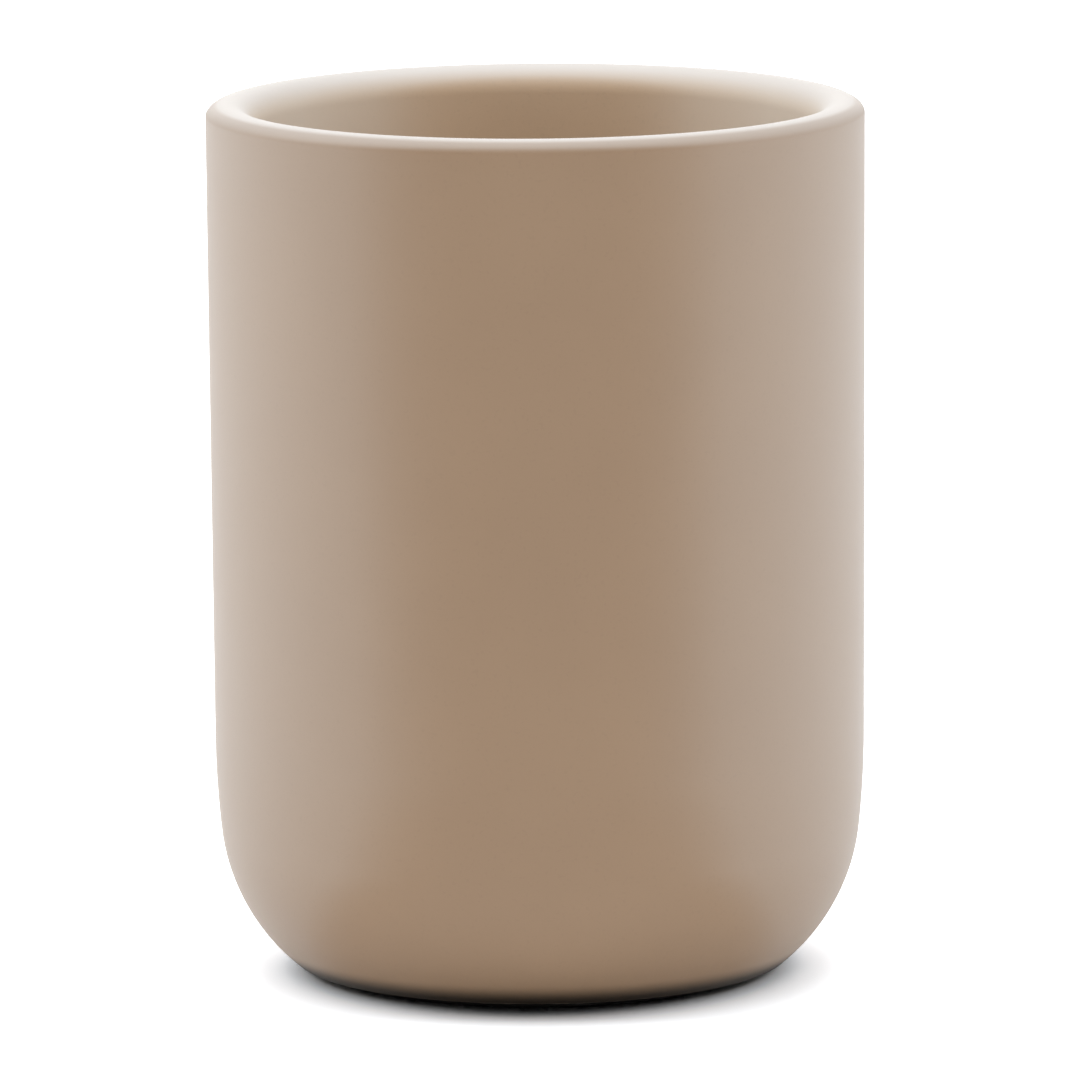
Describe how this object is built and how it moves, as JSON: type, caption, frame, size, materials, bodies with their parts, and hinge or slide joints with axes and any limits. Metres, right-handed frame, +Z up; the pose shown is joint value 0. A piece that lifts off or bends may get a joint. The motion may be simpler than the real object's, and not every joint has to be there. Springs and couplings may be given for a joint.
{
  "type": "bathroom tumbler",
  "caption": "Thick-walled round tumbler with a rounded lip, a straight wall, a long rounded lower edge and a non-slip pad under its foot.",
  "frame": {"origin": "centre of the non-slip pad's underside, on the surface that the tumbler stands on", "axes": "+Z up along the tumbler's axis of revolution, towards its open lip; +X and +Y are free, because the tumbler is round"},
  "size_m": [0.078, 0.078, 0.1039],
  "materials": {
    "soft_touch_stoneware": "matte",
    "dark_rubber": "matte",
    "adhesive_film": "satin"
  },
  "bodies": {
    "root": {"cup_body": "soft_touch_stoneware", "non_slip_pad": "dark_rubber", "pad_adhesive_film": "adhesive_film"}
  },
  "joints": []
}
